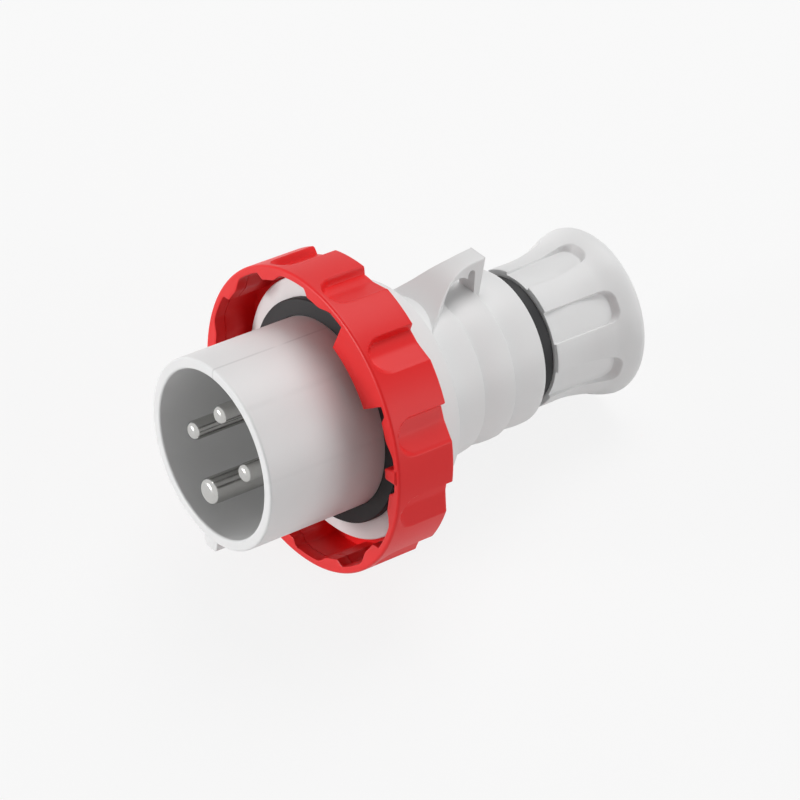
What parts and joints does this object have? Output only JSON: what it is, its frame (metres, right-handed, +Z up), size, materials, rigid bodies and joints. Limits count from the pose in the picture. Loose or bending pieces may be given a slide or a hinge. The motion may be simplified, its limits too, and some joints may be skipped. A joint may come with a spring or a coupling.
{
  "type": "pin and sleeve plug",
  "caption": "Round industrial power plug with a keyed shroud round its pins, a red bayonet locking ring with scooped grips, a stepped grey housing with a cord lug, and a flared cable gland nut.",
  "frame": {"origin": "on the surface the plug lies on, under the middle of its box", "axes": "+Z up; the plug's axis runs from the shroud towards the cable gland along +Y, dipping 12.7 degrees, as it lies on two grips of its locking ring and on the gland nut"},
  "size_m": [0.0814, 0.13, 0.0826],
  "materials": {
    "grey_plastic": "satin moulded, light grey",
    "red_plastic": "satin moulded, red",
    "insert_plastic": "matt moulded, grey",
    "natural_nylon": "matt, natural",
    "black_rubber": "matt black",
    "plated_brass": "turned, bright nickel plate",
    "screw_steel": "zinc-plated"
  },
  "bodies": {
    "plug_body": {"shroud_housing": "grey_plastic", "contact_carrier": "insert_plastic", "pin_retainer": "insert_plastic", "earth_pin": "plated_brass", "phase_pin_1": "plated_brass", "phase_pin_2": "plated_brass", "phase_pin_3": "plated_brass", "terminal_screw_earth": "screw_steel", "terminal_screw_1": "screw_steel", "terminal_screw_2": "screw_steel", "terminal_screw_3": "screw_steel", "carrier_screw_1": "screw_steel", "carrier_screw_2": "screw_steel", "face_gasket": "black_rubber", "housing_seal": "black_rubber", "rear_housing": "grey_plastic", "neck_gasket": "black_rubber", "gland_seal": "black_rubber", "clamp_collet": "natural_nylon"},
    "locking_ring": {"locking_ring": "red_plastic"},
    "slip_washer": {"slip_washer": "natural_nylon"},
    "gland_nut": {"gland_nut": "grey_plastic"}
  },
  "joints": [
    {"name": "ring_turn", "type": "hinge", "parent": "plug_body", "child": "locking_ring", "pos_m": [0, -0.01848, 0.03978], "axis": [0, -0.9754, 0.2206], "range_deg": [0, 40]},
    {"name": "gland_nut_travel", "type": "slide", "parent": "plug_body", "child": "slip_washer", "axis": [0, 0.9754, -0.2206], "range_m": [0, 0.009]},
    {"name": "gland_nut_turn", "type": "hinge", "parent": "slip_washer", "child": "gland_nut", "pos_m": [0, 0.05077, 0.02412], "axis": [0, 0.9754, -0.2206], "range_deg": [0, 1080]}
  ],
  "couplings": [
    {"joint": "gland_nut_turn", "follows": "gland_nut_travel", "rad_per_m": 2094.4}
  ]
}
